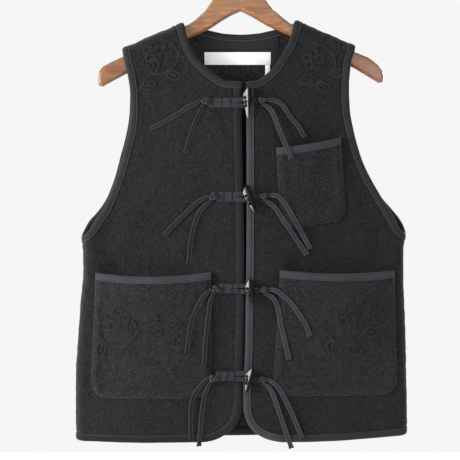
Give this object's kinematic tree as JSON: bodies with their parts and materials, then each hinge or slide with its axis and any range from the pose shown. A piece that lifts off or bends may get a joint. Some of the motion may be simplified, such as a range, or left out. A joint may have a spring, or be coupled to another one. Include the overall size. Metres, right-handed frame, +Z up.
{
  "type": "fleece vest on a wooden hanger",
  "caption": "Collarless thick fleece vest with taped edges, patch pockets and tied toggle closures, hung on a wooden hanger with a wire hook.",
  "frame": {"origin": "the inside top of the hook's crook, where the hanger rests on a rail", "axes": "+X to the right as seen from the vest's front, -Y out of the front, +Z up along the hook's stem"},
  "size_m": [0.4883, 0.0681, 0.7559],
  "materials": {
    "fleece": "nubby boiled pile, matte",
    "edge_tape": "flat woven tape, matte",
    "ribbon": "flat folded tape, matte",
    "label_weave": "smooth white satin weave",
    "horn": "polished horn",
    "wood": "clear varnish, satin",
    "hook_wire": "plated wire"
  },
  "bodies": {
    "root": {"back": "fleece", "front_left": "fleece", "front_right": "fleece", "pocket_lower_left": "fleece", "pocket_lower_right": "fleece", "pocket_chest": "fleece", "pocket_lower_left_tape": "edge_tape", "pocket_lower_right_tape": "edge_tape", "pocket_chest_tape": "edge_tape", "neck_tape": "edge_tape", "armhole_tape_left": "edge_tape", "armhole_tape_right": "edge_tape", "front_edge_tape_left": "edge_tape", "front_edge_tape_right": "edge_tape", "back_hem_tape": "edge_tape", "neck_facing": "edge_tape", "label": "label_weave", "label_tab": "label_weave", "toggle_1": "horn", "toggle_2": "horn", "toggle_3": "horn", "toggle_4": "horn", "toggle_tape_1": "ribbon", "toggle_tape_2": "ribbon", "toggle_tape_3": "ribbon", "toggle_tape_4": "ribbon", "loop_tape_1": "ribbon", "loop_tape_2": "ribbon", "loop_tape_3": "ribbon", "loop_tape_4": "ribbon", "knot_1_left": "ribbon", "knot_1_right": "ribbon", "knot_2_left": "ribbon", "knot_2_right": "ribbon", "knot_3_left": "ribbon", "knot_3_right": "ribbon", "knot_4_left": "ribbon", "knot_4_right": "ribbon", "tie_1_left_a": "ribbon", "tie_1_left_b": "ribbon", "tie_1_right_a": "ribbon", "tie_1_right_b": "ribbon", "tie_2_left_a": "ribbon", "tie_2_left_b": "ribbon", "tie_2_right_a": "ribbon", "tie_2_right_b": "ribbon", "tie_3_left_a": "ribbon", "tie_3_left_b": "ribbon", "tie_3_right_a": "ribbon", "tie_3_right_b": "ribbon", "tie_4_left_a": "ribbon", "tie_4_left_b": "ribbon", "tie_4_right_a": "ribbon", "tie_4_right_b": "ribbon", "hanger": "wood", "hook": "hook_wire"}
  },
  "joints": []
}
